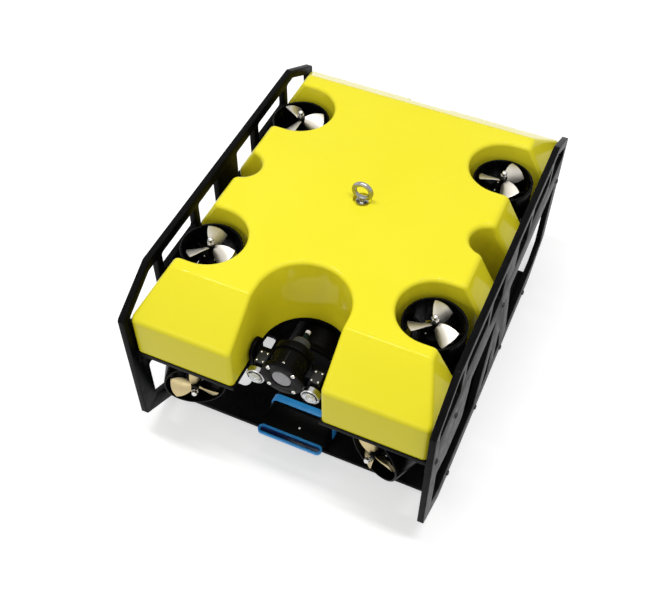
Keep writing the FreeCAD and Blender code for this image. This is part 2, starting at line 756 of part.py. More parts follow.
def tilt_bracket():
    """Starboard bracket: a foot under the deck and an ear with the pivot bore."""
    foot = box((EAR_IN, PIVOT_Y - EAR_R, DECK_BOTTOM - DECK_T),
               (EAR_FOOT, PIVOT_Y + EAR_R, DECK_BOTTOM))
    ear = box((EAR_IN, PIVOT_Y - EAR_R, DECK_BOTTOM - DECK_T), (EAR_IN + EAR_T, PIVOT_Y + EAR_R, PIVOT_Z))
    ear = ear.fuse(rod(EAR_R, EAR_T, (EAR_IN, PIVOT_Y, PIVOT_Z), X_AXIS))
    bracket = foot.fuse(ear).removeSplitter()
    bracket = bracket.cut(rod(PIN_R + PIN_GAP, EAR_T + 2, (EAR_IN - 1, PIVOT_Y, PIVOT_Z), X_AXIS))
    for x, y in ear_screw_places():
        if x > 0:
            bracket = bracket.cut(rod(M4_R, 30, (x, y, DECK_BOTTOM - 20), Z_AXIS))
    return bracket


def camera_cradle():
    """Cross bar with a clamp ring for the camera, carrying the two pivot pins."""
    y0, y1 = PIVOT_Y - CRADLE_T / 2, PIVOT_Y + CRADLE_T / 2
    z0 = LAMP_Z - CRADLE_H / 2
    bar = box((-CRADLE_HALF, y0, z0), (CRADLE_HALF, y1, z0 + CRADLE_H))
    bar = soften(bar, 4.0, Y_AXIS)
    cradle = bar.fuse(rod(CLAMP_R, CRADLE_T, (0, y0, CAMERA_Z), Y_AXIS))
    cradle = cradle.cut(rod(CAMERA_R, CRADLE_T + 2, (0, y0 - 1, CAMERA_Z), Y_AXIS))
    for sx in (-1, 1):
        base = (sx * (CRADLE_HALF - 3), PIVOT_Y, PIVOT_Z)
        boss = rod(PIN_R + 2.5, 3, base, V(sx, 0, 0))
        pin = rod(PIN_R, EAR_IN + EAR_T - CRADLE_HALF + 4, base, V(sx, 0, 0))
        cradle = cradle.fuse(boss).fuse(pin)
    return cradle.removeSplitter()


def camera_housing():
    """Turned housing: front flange, barrel, seam groove and rear neck."""
    rear = CAMERA_REAR - CAMERA_FRONT
    flange = CAMERA_FLANGE_T
    profile = [(0, GLASS_INSET + GLASS_T), (GLASS_R, GLASS_INSET + GLASS_T), (GLASS_R, 1.5),
               (GLASS_R + 1.5, 0), (CAMERA_FLANGE_R - 1, 0), (CAMERA_FLANGE_R, 1),
               (CAMERA_FLANGE_R, flange), (CAMERA_R, flange), (CAMERA_R, rear - 3),
               (CAMERA_R - 3, rear), (CAMERA_NECK_R, rear), (CAMERA_NECK_R, rear + 5), (0, rear + 5)]
    body = turned(profile, (0, CAMERA_FRONT, CAMERA_Z), Y_AXIS)
    for x, z in [(a, b) for a in (-FLANGE_BOLT, FLANGE_BOLT) for b in (-FLANGE_BOLT, FLANGE_BOLT)]:
        body = body.cut(rod(M4_R, flange, (x, CAMERA_FRONT, CAMERA_Z + z), Y_AXIS))
    return body


def camera_screws():
    """Four screws in the camera flange."""
    places = [(a, b) for a in (-FLANGE_BOLT, FLANGE_BOLT) for b in (-FLANGE_BOLT, FLANGE_BOLT)]
    return bundle([m4(CAMERA_FLANGE_T - 1, (x, CAMERA_FRONT, CAMERA_Z + z), V(0, -1, 0))
                   for x, z in places])


def camera_window():
    """Flat port."""
    return rod(GLASS_R, GLASS_T, (0, CAMERA_FRONT + GLASS_INSET, CAMERA_Z), Y_AXIS)


def camera_connector():
    """Bulkhead connector with its moulded tail, behind the camera."""
    start = 0.0
    collar = CONNECTOR_L
    profile = [(0, start), (CONNECTOR_R, start), (CONNECTOR_R, collar - 2),
               (CONNECTOR_R - 2, collar), (TAIL_R, collar), (TAIL_R, collar + TAIL_L - 1),
               (TAIL_R - 1, collar + TAIL_L), (0, collar + TAIL_L)]
    return turned(profile, (0, CAMERA_REAR + 5, CAMERA_Z), Y_AXIS)


def lamp(sx):
    """Lamp body: bezel in front, cooling fins behind."""
    rear = PIVOT_Y - CRADLE_T / 2 - LAMP_FRONT
    profile = [(0, LENS_SEAT), (LENS_R, LENS_SEAT), (LENS_R, 0), (LAMP_R - 1, 0), (LAMP_R, 1), (LAMP_R, LAMP_BEZEL)]
    pitch = (rear - LAMP_BEZEL) / LAMP_FIN_COUNT
    for index in range(LAMP_FIN_COUNT):
        s = LAMP_BEZEL + pitch * index
        groove = LAMP_BODY_R - LAMP_FIN
        profile += [(groove, s), (groove, s + pitch / 2), (LAMP_BODY_R, s + pitch / 2),
                    (LAMP_BODY_R, s + pitch)]
    profile += [(0, rear)]
    return turned(profile, (sx * LAMP_X, LAMP_FRONT, LAMP_Z), Y_AXIS)


def lamp_lens(sx):
    """Domed lens in the bezel."""
    ball_r = (LENS_R ** 2 + LENS_SAG ** 2) / (2 * LENS_SAG)
    half_angle = math.asin(LENS_R / ball_r) / 2
    crown = V(0, 0, -LENS_SAG)
    shoulder = V(ball_r * math.sin(half_angle), 0, ball_r * (1 - math.cos(half_angle)) - LENS_SAG)
    rim = V(LENS_R, 0, 0)
    back = [rim, V(LENS_R, 0, LENS_SEAT), V(0, 0, LENS_SEAT), crown]
    edges = [Part.Arc(crown, shoulder, rim).toShape()]
    edges += [Part.LineSegment(p, q).toShape() for p, q in zip(back, back[1:])]
    solid = Part.Face(Part.Wire(edges)).revolve(V(0, 0, 0), Z_AXIS, 360)
    return seated(solid, (sx * LAMP_X, LAMP_FRONT, LAMP_Z), Y_AXIS)


# ------------------------------------------------------------------ bow sensor pod

def pod_housing():
    """Housing with rounded shoulders and a wedge nose."""
    side = [(POD_BACK, FLOOR_TOP), (POD_BACK, POD_TOP), (POD_SHOULDER, POD_TOP),
            (POD_NOSE_Y, NOSE_TOP), (POD_NOSE_Y, NOSE_BOTTOM), (CHIN_Y, FLOOR_TOP + 6),
            (CHIN_Y, FLOOR_TOP)]
    form = polygon_prism(side, "x", -POD_HALF, 2 * POD_HALF)
    form = soften(form, 2.0, X_AXIS)
    end = box((-POD_HALF, POD_NOSE_Y - 10, FLOOR_TOP), (POD_HALF, POD_BACK + 10, POD_TOP))
    tops = [e for e in end.Edges if runs_along(e, Y_AXIS) and e.CenterOfMass.z > POD_TOP - 1]
    return form.common(end.makeFillet(POD_SHOULDER_R, tops))


def pod_strap():
    """Saddle strap over the housing."""
    y0 = STRAP_Y
    outer = box((-POD_HALF - STRAP_T, y0, STRAP_FOOT),
                (POD_HALF + STRAP_T, y0 + STRAP_W, POD_TOP + STRAP_T))
    inner = box((-POD_HALF, y0 - 1, FLOOR_BOTTOM), (POD_HALF, y0 + STRAP_W + 1, POD_TOP))
    return round_top(outer, POD_SHOULDER_R + STRAP_T).cut(round_top(inner, POD_SHOULDER_R))


def round_top(block, radius):
    """Round the two upper edges that run fore and aft."""
    top = block.BoundBox.ZMax
    edges = [e for e in block.Edges if runs_along(e, Y_AXIS) and e.CenterOfMass.z > top - 1]
    return block.makeFillet(radius, edges)


def stadium(half, depth, bottom, height):
    """Upright prism with round ends, centred on the nose front."""
    y1 = POD_NOSE_Y
    block = box((-half, y1 - depth, bottom), (half, y1, bottom + height))
    return soften(block, depth / 2 - 0.05, Z_AXIS)


def pod_bezel():
    """Stadium ring on the nose."""
    height = NOSE_TOP - NOSE_BOTTOM
    ring = stadium(BEZEL_HALF, BEZEL_DEPTH, NOSE_BOTTOM, height)
    hole = stadium(BEZEL_HALF - BEZEL_WALL, BEZEL_DEPTH - 2 * BEZEL_WALL, NOSE_BOTTOM - 1, height + 2)
    hole.translate(V(0, -BEZEL_WALL, 0))
    return ring.cut(hole)


def pod_window():
    """Dark window sunk in the ring."""
    height = NOSE_TOP - NOSE_BOTTOM - BEZEL_SINK
    pane = stadium(BEZEL_HALF - BEZEL_WALL, BEZEL_DEPTH - 2 * BEZEL_WALL, NOSE_BOTTOM, height)
    pane.translate(V(0, -BEZEL_WALL, 0))
    return pane


# ------------------------------------------------------------------ pressure hulls

def hull_tube(radius, centre_z, front, rear):
    """Open tube along Y."""
    tube = rod(radius, rear - front, (0, front, centre_z), Y_AXIS)
    return tube.cut(rod(radius - HULL_WALL, rear - front, (0, front, centre_z), Y_AXIS))


def end_cap(radius, lip, centre_z, face_y, outward):
    """Cap with a spigot inside the tube."""
    bore = radius - HULL_WALL
    rim = radius + lip
    profile = [(0, -CAP_T), (bore, -CAP_T), (bore, 0), (rim, 0), (rim, CAP_T - CAP_BEVEL),
               (rim - CAP_BEVEL, CAP_T), (0, CAP_T)]
    return turned(profile, (0, face_y, centre_z), V(0, outward, 0))


def gland(flats, height, bore_r, base, direction):
    """Cable gland: hexagon, clamp nut with a tapered nose and an open inlet."""
    radius = flats / 2 - 0.8
    profile = [(0, 0), (radius, 0), (radius, height * 0.75), (radius * 0.75, height), (0, height)]
    body = hexagon(flats, height * 0.4, 0).fuse(turned(profile, (0, 0, 0), Z_AXIS))
    body = body.cut(rod(bore_r, GLAND_BORE, (0, 0, height - GLAND_BORE), Z_AXIS))
    return seated(body, base, direction)


def gland_places():
    """Inlets on the stern cap of the electronics hull, around the tether gland."""
    return [(x, HULL_Z + z) for x, z in ring_places(GLAND_RING, 6, 0)]


def tube_cradle(y):
    """Cross frame that holds both hulls between floor and deck."""
    frame = box((-SADDLE_HALF, y - SADDLE_T / 2, FLOOR_TOP), (SADDLE_HALF, y + SADDLE_T / 2, DECK_BOTTOM))
    frame = soften(frame, 6.0, Y_AXIS)
    frame = frame.cut(rod(HULL_R, 2 * SADDLE_T, (0, y - SADDLE_T, HULL_Z), Y_AXIS))
    return frame.cut(rod(BATTERY_R, 2 * SADDLE_T, (0, y - SADDLE_T, BATTERY_Z), Y_AXIS))


# ------------------------------------------------------------------ lifting eye

def lifting_eye():
    """Eye bolt: ring, collar and shank down through the block to the deck."""
    tube_r = (EYE_OUTER - EYE_INNER) / 4
    ring_r = (EYE_OUTER + EYE_INNER) / 4
    seat_z = FLOAT_TOP - EYE_WELL_DEPTH
    centre_z = seat_z + EYE_HEIGHT + EYE_WELL_DEPTH - EYE_OUTER / 2
    ring = Part.makeTorus(ring_r, tube_r, V(0, 0, centre_z), Y_AXIS)
    collar = rod(EYE_COLLAR_R, EYE_COLLAR_T, (0, 0, seat_z), Z_AXIS)
    neck = Part.makeCone(EYE_COLLAR_R - 2.5, tube_r, centre_z - ring_r - seat_z, V(0, 0, seat_z), Z_AXIS)
    shank = rod(EYE_ROD_R, seat_z - DECK_BOTTOM + EYE_TAIL, (0, 0, DECK_BOTTOM - EYE_TAIL), Z_AXIS)
    return ring.fuse(collar).fuse(neck).fuse(shank).removeSplitter()


def eye_nut():
    """Nut and washer under the deck."""
    under = DECK_BOTTOM - EYE_WASHER_T
    nut = hexagon(EYE_NUT_FLATS, EYE_NUT_H, under - EYE_NUT_H)
    washer = rod(EYE_COLLAR_R, EYE_WASHER_T, (0, 0, under), Z_AXIS)
    nut = nut.fuse(washer)
    return nut.cut(rod(EYE_ROD_R, 40, (0, 0, DECK_BOTTOM - 30), Z_AXIS))


# ------------------------------------------------------------------ nodes

def save_thrusters():
    """Nozzles, pods, propellers and cap nuts of all eight thrusters."""
    lift, plain, pod, prop, nut = lifting_duct(), duct(), motor_pod(), propeller(), acorn_nut(HUB_TOP)
    pods = {"v": [], "h": []}
    for name, base, axis, angle in thruster_seats():
        kind = name[0]
        form = lift if kind == "v" else plain
        save("nozzle_" + name, seated(form, base, axis))
        pods[kind].append(seated(pod, base, axis))
        spun = prop.copy()
        spun.rotate(V(0, 0, 0), Z_AXIS, angle)
        save("propeller_" + name, seated(spun, base, axis))
        save("prop_nut_" + name, seated(nut, base, axis))
    save("motors_lifting", bundle(pods["v"]))
    save("motors_thrust", bundle(pods["h"]))
    saddles = [saddle(base, axis) for name, base, axis, a in thruster_seats() if name[0] == "h"]
    save("thruster_saddles", bundle(saddles))
    save("thruster_screws", thruster_screws())


def save_frame():
    """Plates, block, brackets, lifting eye and their screws."""
    plate = side_plate()
    save("side_plate_right", plate)
    save("side_plate_left", mirrored_x(plate))
    save("float_block", float_block())
    save("deck_plate", deck_plate())
    save("floor_plate", floor_plate())
    save("corner_brackets", bundle([corner_bracket(sx, sy) for sx, sy in CORNERS.values()]))
    save("frame_screws", frame_screws())
    save("deck_screws", deck_screws())
    save("lifting_eye", lifting_eye())
    save("lifting_eye_nut", eye_nut())


def save_head():
    """Tilting camera head."""
    bracket = tilt_bracket()
    save("tilt_bracket_right", bracket)
    save("tilt_bracket_left", mirrored_x(bracket))
    save("camera_cradle", camera_cradle())
    save("camera_housing", camera_housing())
    save("camera_screws", camera_screws())
    save("camera_window", camera_window())
    save("camera_connector", camera_connector())
    save("lamp_housings", bundle([lamp(-1), lamp(1)]))
    save("lamp_lenses", bundle([lamp_lens(-1), lamp_lens(1)]))


def save_hulls():
    """Pressure hulls, their caps and glands, and the bow pod."""
    save("electronics_tube", hull_tube(HULL_R, HULL_Z, HULL_FRONT, HULL_REAR))
    save("electronics_cap_front", end_cap(HULL_R, CAP_LIP, HULL_Z, HULL_FRONT, -1))
    save("electronics_cap_rear", end_cap(HULL_R, CAP_LIP, HULL_Z, HULL_REAR, 1))
    rear = HULL_REAR + CAP_T
    glands = [gland(GLAND_HEX, GLAND_H, GLAND_BORE_R, (x, rear, z), Y_AXIS) for x, z in gland_places()]
    save("cable_glands", bundle(glands))
    tether = gland(TETHER_GLAND_HEX, TETHER_GLAND_H, TETHER_BORE_R, (0, rear, HULL_Z), Y_AXIS)
    save("tether_gland", tether)
    save("battery_tube", hull_tube(BATTERY_R, BATTERY_Z, BATTERY_FRONT, HULL_REAR))
    caps = [end_cap(BATTERY_R, BATTERY_CAP_LIP, BATTERY_Z, BATTERY_FRONT, -1),
            end_cap(BATTERY_R, BATTERY_CAP_LIP, BATTERY_Z, HULL_REAR, 1)]
    save("battery_caps", bundle(caps))
    save("tube_cradles", bundle([tube_cradle(y) for y in CRADLE_Y]))
    save("pod_housing", pod_housing())
    save("pod_strap", pod_strap())
    save("pod_bezel", pod_bezel())
    save("pod_window", pod_window())


os.makedirs("parts", exist_ok=True)
save_frame()
save_thrusters()
save_head()
save_hulls()
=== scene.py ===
import bpy
import bmesh
import json
import math
from mathutils import Matrix, Vector

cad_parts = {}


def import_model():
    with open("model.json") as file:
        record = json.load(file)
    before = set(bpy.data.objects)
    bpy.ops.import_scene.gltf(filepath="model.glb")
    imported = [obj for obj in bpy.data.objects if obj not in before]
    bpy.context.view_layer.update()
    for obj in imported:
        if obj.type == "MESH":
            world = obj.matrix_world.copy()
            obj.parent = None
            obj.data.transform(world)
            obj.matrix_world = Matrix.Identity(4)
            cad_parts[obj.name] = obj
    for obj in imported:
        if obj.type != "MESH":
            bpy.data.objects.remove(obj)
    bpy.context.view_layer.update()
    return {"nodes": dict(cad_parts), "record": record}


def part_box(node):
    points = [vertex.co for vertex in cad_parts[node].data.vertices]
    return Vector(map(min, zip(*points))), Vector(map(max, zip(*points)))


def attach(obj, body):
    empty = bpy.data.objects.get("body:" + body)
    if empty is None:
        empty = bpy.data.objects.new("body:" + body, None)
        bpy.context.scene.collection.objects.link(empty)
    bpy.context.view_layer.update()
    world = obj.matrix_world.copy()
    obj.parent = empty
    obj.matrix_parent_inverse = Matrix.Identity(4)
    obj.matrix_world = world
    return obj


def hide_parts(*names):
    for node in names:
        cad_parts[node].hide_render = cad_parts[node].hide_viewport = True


# Underwater inspection ROV: materials, small hardware, light and camera round the CAD frame.
# Lengths are in metres, powers in watts.
# +Z is up, the camera end of the vehicle faces -Y, and +X is starboard.

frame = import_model()

# ---- camera, as solved from the photograph ----
VIEW_AZIMUTH = math.radians(23.75)
VIEW_ELEVATION = math.radians(50.77)
VIEW_ROLL = math.radians(0.32)
VIEW_DISTANCE = 1.7792
VIEW_TARGET = Vector((-0.06166, 0.0264, 0.050))
LENS_MM = 52.52
SENSOR_MM = 36.0

# ---- light and floor ----
# Each softbox: name, place, target, width, height, power.
SOFTBOXES = (
    ("key", (0.0, -0.15, 2.4), (0.0, -0.10, 0.3), 2.4, 0.16, 33.0),
    ("front", (-0.5, -2.1, 1.5), (0.0, 0.0, 0.2), 1.6, 0.5, 5.4),
    ("side", (-2.2, 0.3, 1.3), (0.0, 0.0, 0.2), 0.5, 1.6, 2.5),
)
# Strength of the world as light on the object; where it is seen directly it is 1, which is white.
WORLD_LEVEL = 0.34
# Glow added to the floor where it is seen directly, so that it reads white outside the shadow.
FLOOR_GLOW = 0.55
FLOOR_GREY = 0.80
FLOOR_SIZE = 12.0
FLOOR_DROP = 0.0005

# ---- meshes ----
UP = Vector((0, 0, 1))
AHEAD = Vector((0, -1, 0))
# Edges sharper than this are rounded, and stay crisp in the shading.
CREASE = math.radians(32)
FLAT_ANGLE = math.radians(0.4)
WELD_REACH = 0.00001
NODE_BEVEL_SEGMENTS = 2
PIECE_BEVEL_SEGMENTS = 3
RING_POINTS = 24
SIXTH = math.pi / 3
# Share of a turned form's radius at which its last face closes it.
CENTRE = 0.05

# ---- button-head screws, as shares of the head's radius or height ----
SCREW_SHANK = 0.52
SCREW_HEIGHT = 0.62
SCREW_SOCKET = 0.36
SCREW_SOCKET_FLOOR = 0.35
# Radius of the shank's end, and length of its chamfer, as shares of the shank's radius.
SCREW_TIP = (0.9, 0.2)
# (radius, height) from the rim under the head to its flat top.
SCREW_HEAD = ((1.0, 0.0), (1.0, 0.40), (0.86, 0.78), (0.62, 1.0))

# ---- thrusters ----
SPIN = "spin_"
PROPELLER = "propeller_"
# Radius of the dark hub, and width of the change to blade metal.
HUB_REACH = 0.0064
HUB_BLEND = 0.0006
# Screws on a ring of this radius, on the front of each motor pod.
POD_SCREWS = 4
POD_SCREW_REACH = 0.0132
POD_SCREW_R = 0.0018
POD_SCREW_GRIP = 0.003

# ---- lamps ----
# Depth of the lens behind its dome, thickness of its wall, and gap to the pieces round it.
LENS_SEAT = 0.003
LENS_WALL = 0.0011
LENS_GAP = 0.0001
# Steps of a dome's arc, and the angle by which it stops short of its crown.
DOME_STEPS = 8
DOME_CROWN = 0.008
# (out from the lens, ahead of its rim) round the collar's section.
COLLAR = ((0.0, 0.0002), (0.0, 0.0006), (0.0012, 0.0006), (0.0021, -0.0004), (0.0021, -0.0090),
          (0.0016, -0.0094), (0.0014, -0.0004))
# Reflector: gap to the lens's wall, rise of its bottom, height of its rim, (inset, height) of its
# lip, and share of its radius that is flat.
DISH_GAP = 0.0002
DISH_RISE = 0.0006
DISH_RIM = 0.0014
DISH_LIP = (0.0006, 0.0016)
DISH_FLAT = 0.62
CHIPS = 4
CHIP_REACH = 0.0046
# (radius, height) of one light chip from its foot to its crown.
CHIP = ((0.0021, 0.0), (0.0021, 0.0005), (0.0017, 0.0011), (0.0010, 0.0015), (0.0003, 0.0017))

# ---- camera barrel, clamp blocks and port ----
# BACK is behind the flange's front, TOP above the barrel's axis, and RISE above the lamp's axis.
BARREL_TOP = 0.029
SEAM_BACK = 0.0245
SEAM_HALF = Vector((0.0005, 0.0090, 0.0006))
SEAM_BEVEL = 0.0002
SEAM_SCREW_BACK = 0.0105
SEAM_SCREW_SINK = 0.0004
SEAM_SCREW_R = 0.0022
SEAM_SCREW_GRIP = 0.003
CLAMP_BACK = 0.028
CLAMP_RISE = 0.0135
CLAMP_HALF = Vector((0.0085, 0.0115, 0.0045))
CLAMP_BEVEL = 0.0012
CLAMP_SCREW_X = 0.0052
CLAMP_SCREW_Y = 0.0080
CLAMP_SCREW_R = 0.0019
CLAMP_SCREW_GRIP = 0.004
PORT_GAP = 0.0003
PORT_SINK = 0.0006
PORT_EDGE = 0.0008
PORT_CROWN = 0.0001

# ---- screw on the bow pod's nose ----
# Direction square to the nose, then the screw's place from the pod's middle, front and top.
NOSE_SLOPE = Vector((0, -14.0, 35.0))
NOSE_X = 0.008
NOSE_BACK = 0.0130
NOSE_DROP = 0.0088
NOSE_SCREW_R = 0.0022
NOSE_SCREW_GRIP = 0.004

# ---- colours that several materials share or derive ----
SATIN_DARK, SATIN_LIGHT = 0.75, 1.35
STEEL_TINT = (1.0, 0.98, 0.95)
STEEL_LIGHT = 1.32
# Brass of the thrust propellers, darker than the lifting alloy as painted shade.
SHADED_THRUST_ALLOY = (0.50, 0.41, 0.22)
LIFTING_ALLOY = (0.60, 0.565, 0.50)
ALLOY_LIGHT = 1.12
HUB_BLACK = (0.016, 0.016, 0.017)

# ---- connector, as shares of its length from front to rear ----
COLLAR_END = 16.0 / 38.0
TAIL_START = COLLAR_END + 0.01
TAIL_END = 0.82
TIP_START = 0.84

# Sockets of a colour mix node, which share their names with its other types.
MIX_FIRST, MIX_SECOND, MIX_RESULT = 6, 7, 2

# Span of fractal noise in which most of its values lie.
NOISE_LOW, NOISE_HIGH = 0.3, 0.7


# ------------------------------------------------------------------ node helpers

class Shader:
    """Small builder for one procedural material."""

    def __init__(self, name):
        self.material = bpy.data.materials.new(name)
        self.material.use_nodes = True
        self.tree = self.material.node_tree
        self.surface = self.tree.nodes["Principled BSDF"]
        self.place = self.tree.nodes.new("ShaderNodeTexCoord").outputs["Object"]

    def put(self, kind, **values):
        """Add a node and set its properties."""
        node = self.tree.nodes.new(kind)
        for key, value in values.items():
            setattr(node, key, value)
        return node

    def link(self, source, target):
        """Join two sockets."""
        self.tree.links.new(source, target)

    def set(self, **values):
        """Set sockets of the surface shader by name."""
        for key, value in values.items():
            self.surface.inputs[key.replace("_", " ")].default_value = value

    def scaled(self, factors):
        """Object coordinates stretched along each axis."""
        mapping = self.put("ShaderNodeMapping")
        mapping.inputs["Scale"].default_value = factors
        self.link(self.place, mapping.inputs["Vector"])
        return mapping.outputs["Vector"]

    def noise(self, scale, detail=3.0, rough=0.5, stretch=None):
        """Fractal noise at a scale in features per metre."""
        node = self.put("ShaderNodeTexNoise")
        node.inputs["Scale"].default_value = scale
        node.inputs["Detail"].default_value = detail
        node.inputs["Roughness"].default_value = rough
        source = self.place if stretch is None else self.scaled(stretch)
        self.link(source, node.inputs["Vector"])
        return node.outputs["Fac"]

    def ramp(self, source, stops):
        """Colour ramp from (position, colour) pairs."""
        node = self.put("ShaderNodeValToRGB")
        elements = node.color_ramp.elements
        while len(elements) < len(stops):
            elements.new(0.5)
        for element, (position, colour) in zip(elements, stops):
            element.position = position
            element.color = (*colour, 1.0)
        self.link(source, node.inputs["Fac"])
        return node.outputs["Color"]

    def drift(self, source, first, second, low=NOISE_LOW, high=NOISE_HIGH):
        """Colour that goes from the first to the second as the source rises."""
        return self.ramp(source, [(low, first), (high, second)])

    def span(self, source, low, high, out_low=0.0, out_high=1.0):
        """Map a range of one value to another range."""
        node = self.put("ShaderNodeMapRange")
        node.inputs["From Min"].default_value = low
        node.inputs["From Max"].default_value = high
        node.inputs["To Min"].default_value = out_low
        node.inputs["To Max"].default_value = out_high
        self.link(source, node.inputs["Value"])
        return node.outputs["Result"]

    def mix(self, factor, first, second):
        """Mix two colours; either may be a socket."""
        node = self.put("ShaderNodeMix", data_type="RGBA")
        self.link(factor, node.inputs["Factor"])
        for index, value in ((MIX_FIRST, first), (MIX_SECOND, second)):
            socket = node.inputs[index]
            if isinstance(value, tuple):
                socket.default_value = (*value, 1.0)
            else:
                self.link(value, socket)
        return node.outputs[MIX_RESULT]

    def axis_of(self, vector, axis):
        """One component of a vector."""
        node = self.put("ShaderNodeSeparateXYZ")
        self.link(vector, node.inputs[0])
        return node.outputs[axis]

    def maths(self, operation, first, second=None):
        """Two-value maths; either may be a socket."""
        node = self.put("ShaderNodeMath", operation=operation)
        for socket, value in zip(node.inputs, (first, second)):
            if value is None:
                continue
            if isinstance(value, (int, float)):
                socket.default_value = value
            else:
                self.link(value, socket)
        return node.outputs[0]

    def colour(self, source):
        """Drive the base colour."""
        self.link(source, self.surface.inputs["Base Color"])

    def roughness(self, source, low, high):
        """Drive the roughness between two values by noise."""
        spread = self.span(source, NOISE_LOW, NOISE_HIGH, low, high)
        self.link(spread, self.surface.inputs["Roughness"])

    def bump(self, source, height, strength=1.0, before=None):
        """Bump of a height in metres."""
        node = self.put("ShaderNodeBump")
        node.inputs["Distance"].default_value = height
        node.inputs["Strength"].default_value = strength
        self.link(source, node.inputs["Height"])
        if before is not None:
            self.link(before, node.inputs["Normal"])
        self.link(node.outputs["Normal"], self.surface.inputs["Normal"])
        return node.outputs["Normal"]


# ------------------------------------------------------------------ materials

def gel_coat():
    """Glossy yellow gel coat over foam, with faint orange peel and a few darker specks."""
    m = Shader("yellow_gel_coat")
    m.set(Coat_Weight=0.24, Coat_Roughness=0.05, Specular_IOR_Level=0.05)
    base = m.drift(m.noise(5.0, detail=2.0), (0.945, 0.835, 0.022), (0.965, 0.865, 0.034))
    speck = m.span(m.noise(900.0, detail=1.0), low=0.72, high=0.80)
    base = m.mix(m.maths("MULTIPLY", speck, 0.05), base, (0.62, 0.56, 0.06))
    m.colour(base)
    m.roughness(m.noise(30.0, detail=4.0), low=0.16, high=0.24)
    wave = m.bump(m.noise(22.0, detail=2.0), height=0.0004, strength=0.10)
    m.bump(m.noise(380.0, detail=2.0), height=0.00006, strength=0.12, before=wave)
    return m.material


def black_sheet():
    """Routed polymer sheet: pebbled faces, lighter milled edges with tool marks."""
    m = Shader("black_sheet")
    m.set(Specular_IOR_Level=0.03)
    normal = m.put("ShaderNodeNewGeometry").outputs["Normal"]
    side = m.maths("ABSOLUTE", m.axis_of(normal, 0))
    edge = m.span(side, low=0.9, high=0.6)
    grain = m.noise(700.0, detail=3.0)
    face = m.drift(grain, (0.0012, 0.0012, 0.0014), (0.0028, 0.0028, 0.0030), low=0.35)
    marks = m.noise(60.0, detail=3.0, rough=0.6, stretch=(6.0, 1.0, 1.0))
    milled = m.drift(marks, (0.0022, 0.0022, 0.0025), (0.0075, 0.0075, 0.0080), high=0.75)
    m.colour(m.mix(edge, face, milled))
    m.roughness(m.noise(80.0, detail=4.0), low=0.30, high=0.42)
    pebble = m.bump(m.noise(1100.0, detail=2.0), height=0.00008, strength=0.35)
    m.bump(m.noise(9.0, detail=2.0), height=0.0008, strength=0.15, before=pebble)
    return m.material


def satin_black(name, tone, low, high, metallic=0.0, level=0.07):
    """Moulded or anodised dark surface with fine grain; low and high bound its roughness."""
    m = Shader(name)
    m.set(Metallic=metallic, Specular_IOR_Level=level)
    dark, light = (tone * SATIN_DARK,) * 3, (tone * SATIN_LIGHT,) * 3
    m.colour(m.drift(m.noise(45.0, detail=4.0), dark, light, high=0.75))
    m.roughness(m.noise(160.0, detail=3.0), low, high)
    m.bump(m.noise(1500.0, detail=2.0), height=0.00002, strength=0.06)
    return m.material


def stainless(name, tone):
    """Polished stainless hardware with fine directional scratches."""
    m = Shader(name)
    m.set(Metallic=1.0)
    dark = tuple(tone * share for share in STEEL_TINT)
    light = tuple(value * STEEL_LIGHT for value in dark)
    m.colour(m.drift(m.noise(240.0, detail=3.0), dark, light))
    m.roughness(m.noise(500.0, detail=4.0, rough=0.6), low=0.14, high=0.30)
    scratches = m.noise(900.0, detail=3.0, rough=0.6, stretch=(1.0, 1.0, 7.0))
    m.bump(scratches, height=0.00003, strength=0.35)
    return m.material


def propeller_metal(key, centre, axis):
    """Polished cast blades, slightly warm, round a dark hub on the spin axis; thrust blades are
    darker as painted shade.
    """
    m = Shader("propeller_alloy_" + key)
    offset = m.put("ShaderNodeVectorMath", operation="SUBTRACT")
    m.link(m.place, offset.inputs[0])
    offset.inputs[1].default_value = centre
    swept = m.put("ShaderNodeVectorMath", operation="CROSS_PRODUCT")
    m.link(offset.outputs["Vector"], swept.inputs[0])
    swept.inputs[1].default_value = axis
    reach = m.put("ShaderNodeVectorMath", operation="LENGTH")
    m.link(swept.outputs["Vector"], reach.inputs[0])
    blade = m.span(reach.outputs["Value"], low=HUB_REACH, high=HUB_REACH + HUB_BLEND)
    # Thrust propellers take the darker brass, which is painted shade.
    warm = SHADED_THRUST_ALLOY if key.startswith("h") else LIFTING_ALLOY
    pale = tuple(value * ALLOY_LIGHT for value in warm)
    alloy = m.drift(m.noise(60.0, detail=3.0), warm, pale, high=0.72)
    m.colour(m.mix(blade, HUB_BLACK, alloy))
    m.set(Metallic=1.0)
    m.roughness(m.noise(220.0, detail=4.0, rough=0.6), low=0.34, high=0.48)
    m.bump(m.noise(400.0, detail=3.0, rough=0.6), height=0.00005, strength=0.25)
    return m.material


def silver_reflector():
    """Metallised lamp reflector."""
    m = Shader("lamp_reflector")
    m.set(Metallic=1.0)
    m.colour(m.drift(m.noise(500.0, detail=2.0), (0.40, 0.40, 0.39), (0.56, 0.56, 0.55)))
    m.roughness(m.noise(700.0, detail=2.0), low=0.12, high=0.26)
    m.bump(m.noise(900.0, detail=2.0), height=0.00008, strength=0.4)
    return m.material


def phosphor():
    """Pale yellow face of a lamp chip."""
    m = Shader("lamp_phosphor")
    m.colour(m.drift(m.noise(900.0, detail=2.0), (0.74, 0.69, 0.42), (0.84, 0.80, 0.54)))
    m.roughness(m.noise(600.0, detail=2.0), low=0.3, high=0.45)
    return m.material


def blue_part():
    """Blue moulded strap and bezel."""
    m = Shader("blue_moulding")
    m.set(Specular_IOR_Level=0.5)
    m.colour(m.drift(m.noise(60.0, detail=3.0), (0.030, 0.345, 0.88), (0.042, 0.415, 0.97)))
    m.roughness(m.noise(200.0, detail=3.0), low=0.30, high=0.42)
    m.bump(m.noise(1200.0, detail=2.0), height=0.00008, strength=0.4)
    return m.material


